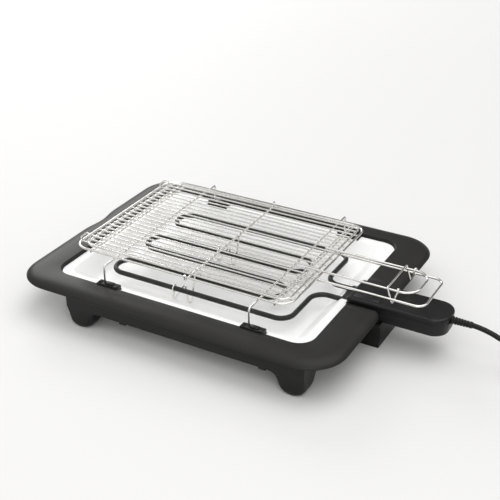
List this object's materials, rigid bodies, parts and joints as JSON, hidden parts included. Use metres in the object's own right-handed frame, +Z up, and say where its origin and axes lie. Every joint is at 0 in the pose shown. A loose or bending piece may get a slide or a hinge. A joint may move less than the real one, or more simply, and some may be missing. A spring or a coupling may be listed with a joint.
{
  "type": "electric tabletop grill",
  "caption": "Rimmed black tabletop grill with a white drip tray, a bent tube heater on a lift-out control housing, and a hinged double wire grid with wire handles.",
  "frame": {"origin": "on the table, under the centre of the grill's bounding box without its mains lead", "axes": "+X towards the control housing, +Y towards the back of the grill, +Z up"},
  "size_m": [0.7577, 0.357, 0.092],
  "materials": {
    "rim_plastic": "fine satin black moulding",
    "body_plastic": "satin black moulding",
    "socket_plastic": "semi-gloss black moulding",
    "enamel": "glossy white enamel",
    "heater_tube": "dark satin oxide",
    "wire_chrome": "bright plated wire",
    "screw_steel": "zinc plated",
    "ceramic": "off-white, unglazed",
    "tab_brass": "plain",
    "pin_brass": "nickel plated",
    "lead_sleeve": "woven glass sleeve",
    "cord_rubber": "matte black"
  },
  "bodies": {
    "base": {"top_frame": "rim_plastic", "lower_body": "body_plastic", "frame_screws": "screw_steel", "socket_front_left": "socket_plastic", "socket_front_right": "socket_plastic", "socket_back_left": "socket_plastic", "socket_back_right": "socket_plastic"},
    "tray": {"drip_tray": "enamel"},
    "heater": {"heating_element": "heater_tube", "stand_front": "wire_chrome", "stand_back": "wire_chrome", "housing_bottom": "body_plastic", "housing_top": "rim_plastic", "housing_screws": "screw_steel", "mounting_plate": "screw_steel", "element_bushes": "ceramic", "terminal_tabs": "tab_brass", "thermal_cutout": "ceramic", "terminal_leads": "lead_sleeve", "cord_clamp": "ceramic", "strain_relief": "cord_rubber", "inner_cord": "cord_rubber", "power_cord": "cord_rubber", "cord_coil": "cord_rubber", "cord_tie": "cord_rubber", "plug_body": "cord_rubber", "plug_pins": "pin_brass"},
    "lower_grid": {"lower_frame_wire": "wire_chrome", "lower_rods": "wire_chrome", "lower_cross_wires": "wire_chrome", "leg_wire_left": "wire_chrome", "leg_wire_right": "wire_chrome", "lower_handle": "wire_chrome"},
    "upper_grid": {"upper_frame_wire": "wire_chrome", "upper_rods": "wire_chrome", "upper_cross_wires": "wire_chrome", "upper_handle": "wire_chrome", "hinge_rings": "wire_chrome"},
    "latch": {"handle_latch": "wire_chrome"}
  },
  "joints": [
    {"name": "tray_lift", "type": "slide", "parent": "base", "child": "tray", "axis": [0, 0, 1], "range_m": [0, 0.1]},
    {"name": "heater_lift", "type": "slide", "parent": "tray", "child": "heater", "axis": [0, 0, 1], "range_m": [0, 0.1]},
    {"name": "grid_lift", "type": "slide", "parent": "heater", "child": "lower_grid", "axis": [0, 0, 1], "range_m": [0, 0.1]},
    {"name": "grid_hinge", "type": "hinge", "parent": "lower_grid", "child": "upper_grid", "pos_m": [-0.21, 0, 0.0805], "axis": [0, -1, 0], "range_deg": [0, 175]},
    {"name": "latch_slide", "type": "slide", "parent": "upper_grid", "child": "latch", "axis": [1, 0, 0], "range_m": [-0.06, 0]}
  ]
}
